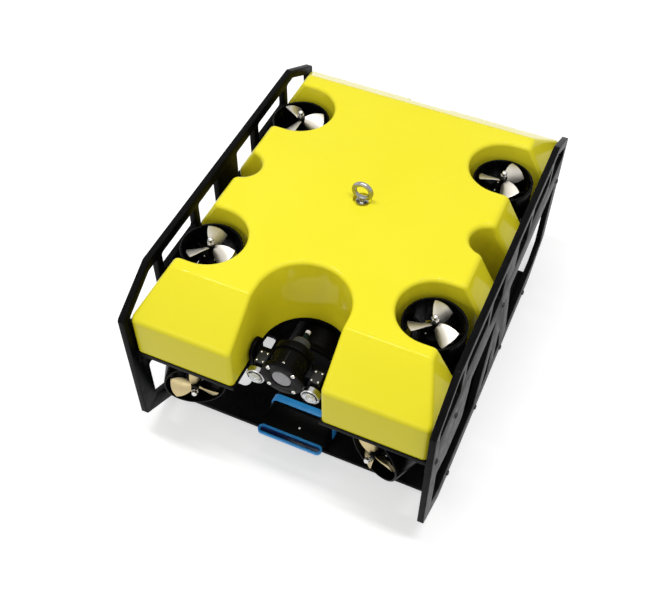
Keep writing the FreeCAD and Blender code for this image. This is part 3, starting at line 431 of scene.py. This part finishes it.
def navy_window():
    """Dark acoustic window in the bezel."""
    m = Shader("navy_window")
    m.set(Coat_Weight=0.4)
    m.colour(m.drift(m.noise(150.0, detail=2.0), (0.006, 0.012, 0.06), (0.012, 0.022, 0.10)))
    m.roughness(m.noise(300.0, detail=2.0), low=0.16, high=0.26)
    m.bump(m.noise(900.0, detail=2.0), height=0.00004, strength=0.3)
    return m.material


def connector_rubber():
    """Moulded connector: grey collar, dark green tail and a pale tip, from front to rear."""
    m = Shader("connector_moulding")
    along = m.axis_of(m.place, 1)
    low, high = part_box("camera_connector")
    share = m.span(along, low.y, high.y)
    grey, green, pale = (0.052, 0.053, 0.055), (0.0015, 0.0075, 0.0070), (0.62, 0.58, 0.68)
    colour = m.ramp(share, [(0.0, grey), (COLLAR_END, grey), (TAIL_START, green),
                            (TAIL_END, green), (TIP_START, pale)])
    m.set(Specular_IOR_Level=0.10)
    m.colour(colour)
    m.roughness(m.noise(300.0, detail=3.0), low=0.42, high=0.60)
    m.bump(m.noise(1400.0, detail=2.0), height=0.00008, strength=0.5)
    return m.material


def port_glass():
    """Flat camera port, slightly milky from its coating."""
    m = Shader("port_glass")
    m.set(IOR=1.49, Coat_Weight=0.3)
    m.colour(m.drift(m.noise(90.0, detail=2.0), (0.235, 0.225, 0.245), (0.285, 0.275, 0.295)))
    m.roughness(m.noise(250.0, detail=2.0), low=0.14, high=0.22)
    return m.material


def lens_glass():
    """Clear lamp lens."""
    m = Shader("lamp_lens_glass")
    m.set(Transmission_Weight=1.0, IOR=1.45)
    m.colour(m.drift(m.noise(60.0, detail=2.0), (0.94, 0.95, 0.95), (0.98, 0.99, 1.0)))
    m.roughness(m.noise(200.0, detail=2.0), low=0.02, high=0.05)
    return m.material


MATERIALS = {
    "yellow": gel_coat(),
    "sheet": black_sheet(),
    "nozzle": satin_black("nozzle_moulding", 0.0020, low=0.22, high=0.34, level=0.05),
    "bracket": satin_black("bracket_moulding", 0.0018, low=0.32, high=0.46, level=0.04),
    "barrel": satin_black("camera_barrel", 0.0024, low=0.24, high=0.36, level=0.045),
    "grey": satin_black("lamp_clamp", 0.018, low=0.28, high=0.42, level=0.2),
    "anodised": satin_black("anodised_hull", 0.0018, low=0.28, high=0.42, level=0.025),
    "stainless": stainless("stainless_hardware", tone=0.56),
    "eye": stainless("lifting_eye_steel", tone=0.30),
    "dark_screw": satin_black("blackened_screw", 0.05, low=0.26, high=0.40, metallic=0.9),
    "blue": blue_part(),
    "navy": navy_window(),
    "connector": connector_rubber(),
    "port": port_glass(),
    "lens": lens_glass(),
    "reflector": silver_reflector(),
    "phosphor": phosphor(),
    "rubber": satin_black("gland_moulding", 0.006, low=0.45, high=0.62),
}

# Look of each CAD node, by its name or, after it, by the start of its name.
NODE_LOOK = {
    "float_block": "yellow",
    "side_plate_left": "sheet", "side_plate_right": "sheet",
    "deck_plate": "sheet", "floor_plate": "sheet",
    "corner_brackets": "anodised",
    "lifting_eye": "eye", "lifting_eye_nut": "eye",
    "motors_lifting": "anodised", "motors_thrust": "anodised",
    "thruster_saddles": "bracket", "tilt_bracket_left": "bracket", "tilt_bracket_right": "bracket",
    "camera_cradle": "bracket", "tube_cradles": "bracket", "pod_housing": "bracket",
    "camera_housing": "barrel", "lamp_housings": "barrel",
    "camera_connector": "connector",
    "electronics_tube": "anodised", "electronics_cap_front": "anodised",
    "electronics_cap_rear": "anodised", "battery_tube": "anodised", "battery_caps": "anodised",
    "cable_glands": "rubber", "tether_gland": "rubber",
    "pod_strap": "blue", "pod_bezel": "blue", "pod_window": "navy",
}
PREFIX_LOOK = {"nozzle_": "nozzle", "prop_nut_": "stainless"}
# CAD nodes that a more detailed piece stands for.
REPLACED = ("frame_screws", "deck_screws", "thruster_screws", "camera_screws", "lamp_lenses",
            "camera_window")

# Edge rounding of each node, in metres.
BEVEL = {"side_plate": 0.0008, "deck_plate": 0.0006, "floor_plate": 0.0006, "nozzle_": 0.0004,
         "tube_cradles": 0.0006, "pod_": 0.0006, "camera_": 0.0004, "tilt_": 0.0006,
         "corner_": 0.0005, "electronics_": 0.0005, "battery_": 0.0005, "thruster_saddles": 0.0006,
         "propeller_": 0.0003, "lamp_housings": 0.0003, "motors_": 0.0004}


def spin_axes():
    """Centre and axis of each thruster, from the record's joints."""
    places = {}
    for joint in frame["record"]["behaviour"]["joints"]:
        if joint["name"].startswith(SPIN):
            key = joint["name"].removeprefix(SPIN)
            places[key] = (Vector(joint["pos_m"]), Vector(joint["axis"]))
    return places


SPINS = spin_axes()


def material_of(name):
    """Material of one CAD node."""
    if name in NODE_LOOK:
        return MATERIALS[NODE_LOOK[name]]
    if name.startswith(PROPELLER):
        key = name.removeprefix(PROPELLER)
        return propeller_metal(key, *SPINS[key])
    look = next(look for prefix, look in PREFIX_LOOK.items() if name.startswith(prefix))
    return MATERIALS[look]


def dress(name, node):
    """Give a CAD node its material and rounded edges."""
    node.data.materials.clear()
    node.data.materials.append(material_of(name))
    for polygon in node.data.polygons:
        polygon.use_smooth = True
    weld = node.modifiers.new("weld", "WELD")
    weld.merge_threshold = WELD_REACH
    flat = node.modifiers.new("flat", "DECIMATE")
    flat.decimate_type = "DISSOLVE"
    flat.angle_limit = FLAT_ANGLE
    width = next((w for prefix, w in BEVEL.items() if name.startswith(prefix)), None)
    if width:
        bevel = node.modifiers.new("bevel", "BEVEL")
        bevel.width = width
        bevel.segments = NODE_BEVEL_SEGMENTS
        bevel.limit_method = "ANGLE"
        bevel.angle_limit = CREASE
    sharpen(node)


def sharpen(thing):
    """Keep edges over the crease angle crisp."""
    split = thing.modifiers.new("split", "EDGE_SPLIT")
    split.split_angle = CREASE


# ------------------------------------------------------------------ small hardware

def ring_point(radius, height, index, hexagonal):
    """Point of a round or hexagonal ring; the radius of a hexagon is half its width over flats."""
    angle = 2 * math.pi * index / RING_POINTS
    if hexagonal:
        off = (angle + SIXTH / 2) % SIXTH - SIXTH / 2
        radius = radius / math.cos(off)
    return Vector((radius * math.cos(angle), radius * math.sin(angle), height))


def turn(shape, rings, place, hollow=False):
    """Add a closed turned form.

    A ring is (radius, height), or (radius, height, True) for a hexagon.
    A hollow form joins its last ring to its first one instead of closing both with faces.
    """
    loops = []
    for ring in rings:
        points = [ring_point(ring[0], ring[1], i, len(ring) > 2) for i in range(RING_POINTS)]
        loops.append([shape.verts.new(place @ point) for point in points])
    for lower, upper in zip(loops, loops[1:]):
        for i in range(RING_POINTS):
            j = (i + 1) % RING_POINTS
            shape.faces.new((lower[i], lower[j], upper[j], upper[i]))
    if hollow:
        for i in range(RING_POINTS):
            j = (i + 1) % RING_POINTS
            shape.faces.new((loops[-1][i], loops[-1][j], loops[0][j], loops[0][i]))
    else:
        shape.faces.new(list(reversed(loops[0])))
        shape.faces.new(loops[-1])


def placed(base, direction):
    """Matrix that puts a form built along +Z on a base point and direction."""
    return Matrix.Translation(base) @ direction.to_track_quat("Z", "Y").to_matrix().to_4x4()


def block(shape, centre, half):
    """Add a rectangular block."""
    size = Matrix.Diagonal((2 * half.x, 2 * half.y, 2 * half.z, 1.0))
    bmesh.ops.create_cube(shape, size=1.0, matrix=Matrix.Translation(centre) @ size)


def piece(name, shape, look, body, stands_for=None, bevel=0.0):
    """Finish a mesh piece and hand it to the frame."""
    bmesh.ops.recalc_face_normals(shape, faces=shape.faces)
    mesh = bpy.data.meshes.new(name)
    shape.to_mesh(mesh)
    shape.free()
    mesh.materials.append(MATERIALS[look])
    for polygon in mesh.polygons:
        polygon.use_smooth = True
    thing = bpy.data.objects.new(name, mesh)
    bpy.context.scene.collection.objects.link(thing)
    if bevel:
        rounding = thing.modifiers.new("bevel", "BEVEL")
        rounding.width = bevel
        rounding.segments = PIECE_BEVEL_SEGMENTS
        rounding.limit_method = "ANGLE"
        rounding.angle_limit = CREASE
    sharpen(thing)
    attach(thing, body)
    if stands_for:
        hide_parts(stands_for)


def solids_of(name):
    """Low and high corner of each separate solid in a CAD node."""
    shape = bmesh.new()
    shape.from_mesh(frame["nodes"][name].data)
    bmesh.ops.remove_doubles(shape, verts=shape.verts, dist=WELD_REACH)
    left = set(shape.verts)
    corners = []
    while left:
        stack = [left.pop()]
        found = []
        while stack:
            vert = stack.pop()
            found.append(vert.co.copy())
            for edge in vert.link_edges:
                other = edge.other_vert(vert)
                if other in left:
                    left.remove(other)
                    stack.append(other)
        corners.append((Vector(min(c[i] for c in found) for i in range(3)),
                        Vector(max(c[i] for c in found) for i in range(3))))
    shape.free()
    return sorted(corners, key=lambda pair: tuple(pair[0]))


def socket_screw(shape, base, direction, head_r, grip):
    """Button-head screw with a hexagon socket; the base is the face under its head."""
    shank = head_r * SCREW_SHANK
    height = head_r * SCREW_HEIGHT
    socket = head_r * SCREW_SOCKET
    tip_r, tip_length = SCREW_TIP
    rings = [(shank * tip_r, -grip), (shank, -grip + shank * tip_length), (shank, 0.0)]
    rings += [(head_r * radius, height * rise) for radius, rise in SCREW_HEAD]
    rings += [(socket, height, True), (socket, height * SCREW_SOCKET_FLOOR, True)]
    turn(shape, rings, placed(base, direction))


def screws_like(name, look, body, axis, outward):
    """Detailed screws in the places of a CAD node of screws.

    The heads look along +axis or -axis as outward says, or away from the middle where it is 0.
    """
    shape = bmesh.new()
    for low, high in solids_of(name):
        middle = (low + high) / 2
        across = (axis + 1) % 3
        head_r = (high[across] - low[across]) / 2
        sign = outward if outward else math.copysign(1, middle[axis])
        height = head_r * SCREW_HEIGHT
        length = high[axis] - low[axis]
        base = middle.copy()
        base[axis] += sign * (length / 2 - height)
        direction = Vector((0, 0, 0))
        direction[axis] = sign
        socket_screw(shape, base, direction, head_r, length - height)
    piece(name + "_detail", shape, look, body, name)


def pod_screws():
    """Four small screws on the front of each motor pod."""
    pod_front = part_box("motors_lifting")[1].z - SPINS["v_fl"][0].z
    for kind in ("v", "h"):
        shape = bmesh.new()
        for key, (centre, axis) in SPINS.items():
            if key[0] != kind:
                continue
            place = placed(centre + axis * pod_front, axis)
            for index in range(POD_SCREWS):
                angle = math.pi / 4 + index * 2 * math.pi / POD_SCREWS
                spot = place @ (POD_SCREW_REACH * Vector((math.cos(angle), math.sin(angle), 0.0)))
                socket_screw(shape, spot, axis, POD_SCREW_R, POD_SCREW_GRIP)
        piece("pod_screws_" + kind, shape, "stainless", "frame")


def dome_arc(radius, sag):
    """Rings of a spherical cap from its rim at height 0 to its crown."""
    ball = (radius ** 2 + sag ** 2) / (2 * sag)
    widest = math.asin(radius / ball)
    rings = []
    for step in range(DOME_STEPS + 1):
        angle = widest * (1 - step / DOME_STEPS) + DOME_CROWN
        rings.append((min(radius, ball * math.sin(angle)), ball * math.cos(angle) - ball + sag))
    rings[0] = (radius, 0.0)
    return rings


def lamp_optics():
    """Hollow domes in silver collars, over reflectors with four light chips each."""
    domes, dishes, chips, collars = bmesh.new(), bmesh.new(), bmesh.new(), bmesh.new()
    for low, high in solids_of("lamp_lenses"):
        middle = (low + high) / 2
        radius = (high.x - low.x) / 2
        sag = high.y - low.y - LENS_SEAT
        place = placed(Vector((middle.x, high.y - LENS_SEAT, middle.z)), AHEAD)
        outer = dome_arc(radius, sag)
        inner = dome_arc(radius - LENS_WALL, sag - LENS_WALL)
        sill = -LENS_SEAT + LENS_GAP
        rings = list(reversed(outer)) + [(radius, sill), (radius - LENS_WALL, sill)] + inner
        turn(domes, rings, place)
        turn(collars, [(radius + LENS_GAP + out, ahead) for out, ahead in COLLAR], place, True)
        rim = radius - LENS_WALL - DISH_GAP
        bottom = sill + DISH_RISE
        lip_in, lip_rise = DISH_LIP
        turn(dishes, [(rim, sill), (rim, DISH_RIM), (rim - lip_in, lip_rise),
                      (rim * DISH_FLAT, bottom), (rim * CENTRE, bottom)], place)
        for index in range(CHIPS):
            angle = index * 2 * math.pi / CHIPS + math.pi / 4
            spot = place @ Vector((CHIP_REACH * math.cos(angle), CHIP_REACH * math.sin(angle),
                                   bottom))
            turn(chips, CHIP, placed(spot, AHEAD))
    piece("lamp_domes", domes, "lens", "camera_head", "lamp_lenses")
    piece("lamp_reflectors", dishes, "reflector", "camera_head")
    piece("lamp_chips", chips, "phosphor", "camera_head")
    piece("lamp_collars", collars, "reflector", "camera_head")


def head_details():
    """Seam and screw on the camera barrel, and the clamp blocks over the lamps."""
    low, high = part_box("camera_housing")
    top = (low.z + high.z) / 2 + BARREL_TOP
    front = low.y
    seam, screws, blocks = bmesh.new(), bmesh.new(), bmesh.new()
    block(seam, Vector((0, front + SEAM_BACK, top)), SEAM_HALF)
    seam_screw = Vector((0, front + SEAM_SCREW_BACK, top - SEAM_SCREW_SINK))
    socket_screw(screws, seam_screw, UP, SEAM_SCREW_R, SEAM_SCREW_GRIP)
    for lamp_low, lamp_high in solids_of("lamp_housings"):
        middle = (lamp_low + lamp_high) / 2
        centre = Vector((middle.x, front + CLAMP_BACK, middle.z + CLAMP_RISE))
        block(blocks, centre, CLAMP_HALF)
        for dx in (-CLAMP_SCREW_X, CLAMP_SCREW_X):
            for dy in (-CLAMP_SCREW_Y, CLAMP_SCREW_Y):
                spot = centre + Vector((dx, dy, CLAMP_HALF.z))
                socket_screw(screws, spot, UP, CLAMP_SCREW_R, CLAMP_SCREW_GRIP)
    piece("barrel_seam", seam, "grey", "camera_head", bevel=SEAM_BEVEL)
    piece("lamp_clamps", blocks, "grey", "camera_head", bevel=CLAMP_BEVEL)
    piece("head_screws", screws, "stainless", "camera_head")


def camera_port():
    """Thick port glass that fills the recess of the camera flange."""
    shape = bmesh.new()
    low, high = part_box("camera_window")
    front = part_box("camera_housing")[0].y
    base = Vector(((low.x + high.x) / 2, high.y, (low.z + high.z) / 2))
    radius = (high.x - low.x) / 2 - PORT_GAP
    depth = high.y - front - PORT_SINK
    turn(shape, [(radius, 0.0), (radius, depth - PORT_EDGE), (radius - PORT_EDGE, depth),
                 (radius * CENTRE, depth + PORT_CROWN)], placed(base, AHEAD))
    piece("camera_port", shape, "port", "camera_head", "camera_window")


def nose_screw():
    """Small screw on the sloping nose of the bow pod."""
    shape = bmesh.new()
    low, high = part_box("pod_housing")
    base = Vector((NOSE_X, low.y + NOSE_BACK, high.z - NOSE_DROP))
    socket_screw(shape, base, NOSE_SLOPE.normalized(), NOSE_SCREW_R, NOSE_SCREW_GRIP)
    piece("nose_screw", shape, "stainless", "frame")


# ------------------------------------------------------------------ stage, light and camera

def floor():
    """Plain pale floor that reads white to the camera and keeps the shadow."""
    mesh = bpy.data.meshes.new("studio_floor")
    half = FLOOR_SIZE / 2
    mesh.from_pydata([(-half, -half, 0), (half, -half, 0), (half, half, 0), (-half, half, 0)],
                     [], [(0, 1, 2, 3)])
    plane = bpy.data.objects.new("studio_floor", mesh)
    bpy.context.scene.collection.objects.link(plane)
    plane.location.z = -FLOOR_DROP
    material = bpy.data.materials.new("studio_floor")
    material.use_nodes = True
    tree = material.node_tree
    tree.nodes.clear()
    out = tree.nodes.new("ShaderNodeOutputMaterial")
    diffuse = tree.nodes.new("ShaderNodeBsdfDiffuse")
    diffuse.inputs["Color"].default_value = (FLOOR_GREY, FLOOR_GREY, FLOOR_GREY, 1.0)
    glow = tree.nodes.new("ShaderNodeEmission")
    tree.links.new(seen_directly(tree, FLOOR_GLOW), glow.inputs["Strength"])
    both = tree.nodes.new("ShaderNodeAddShader")
    tree.links.new(diffuse.outputs[0], both.inputs[0])
    tree.links.new(glow.outputs[0], both.inputs[1])
    tree.links.new(both.outputs[0], out.inputs["Surface"])
    mesh.materials.append(material)


def seen_directly(tree, level):
    """Value that is the level for camera, glossy and transmission rays, and 0 otherwise."""
    path = tree.nodes.new("ShaderNodeLightPath")
    total = path.outputs["Is Camera Ray"]
    for name in ("Is Glossy Ray", "Is Transmission Ray"):
        highest = tree.nodes.new("ShaderNodeMath")
        highest.operation = "MAXIMUM"
        tree.links.new(total, highest.inputs[0])
        tree.links.new(path.outputs[name], highest.inputs[1])
        total = highest.outputs[0]
    scale = tree.nodes.new("ShaderNodeMath")
    scale.operation = "MULTIPLY"
    scale.inputs[1].default_value = level
    tree.links.new(total, scale.inputs[0])
    return scale.outputs[0]


def world():
    """World that is white where it is seen directly, and a plain soft light on the object."""
    shade = bpy.data.worlds.new("studio_world")
    bpy.context.scene.world = shade
    shade.use_nodes = True
    tree = shade.node_tree
    background = tree.nodes["Background"]
    background.inputs["Color"].default_value = (1.0, 1.0, 1.0, 1.0)
    seen = seen_directly(tree, 1.0 - WORLD_LEVEL)
    total = tree.nodes.new("ShaderNodeMath")
    total.operation = "ADD"
    total.inputs[1].default_value = WORLD_LEVEL
    tree.links.new(seen, total.inputs[0])
    tree.links.new(total.outputs[0], background.inputs["Strength"])


def softbox(name, place, target, width, height, power):
    """Rectangular area light aimed at a point."""
    data = bpy.data.lights.new(name, "AREA")
    data.shape = "RECTANGLE"
    data.size = width
    data.size_y = height
    data.energy = power
    lamp = bpy.data.objects.new(name, data)
    bpy.context.scene.collection.objects.link(lamp)
    lamp.location = place
    aim = Vector(target) - Vector(place)
    lamp.rotation_euler = aim.to_track_quat("-Z", "Y").to_euler()


def camera():
    """Camera at the photograph's viewing angle."""
    back = Vector((math.sin(VIEW_AZIMUTH) * math.cos(VIEW_ELEVATION),
                   -math.cos(VIEW_AZIMUTH) * math.cos(VIEW_ELEVATION),
                   math.sin(VIEW_ELEVATION)))
    right = UP.cross(back).normalized()
    upward = back.cross(right)
    roll_c, roll_s = math.cos(VIEW_ROLL), math.sin(VIEW_ROLL)
    across = roll_c * right + roll_s * upward
    upward = roll_c * upward - roll_s * right
    data = bpy.data.cameras.new("camera")
    data.sensor_width = SENSOR_MM
    data.lens = LENS_MM
    view = bpy.data.objects.new("camera", data)
    bpy.context.scene.collection.objects.link(view)
    facing = Matrix((across, upward, back)).transposed().to_4x4()
    view.matrix_world = Matrix.Translation(VIEW_TARGET + back * VIEW_DISTANCE) @ facing
    bpy.context.scene.camera = view


# ------------------------------------------------------------------ the scene

for node_name, node_object in frame["nodes"].items():
    if node_name not in REPLACED:
        dress(node_name, node_object)
screws_like("frame_screws", "dark_screw", "frame", 0, 0)
screws_like("deck_screws", "dark_screw", "frame", 2, -1)
screws_like("thruster_screws", "stainless", "frame", 2, 1)
screws_like("camera_screws", "stainless", "camera_head", 1, -1)
pod_screws()
lamp_optics()
head_details()
camera_port()
nose_screw()
floor()
world()
for settings in SOFTBOXES:
    softbox(*settings)
camera()
bpy.context.scene.view_settings.view_transform = "Standard"
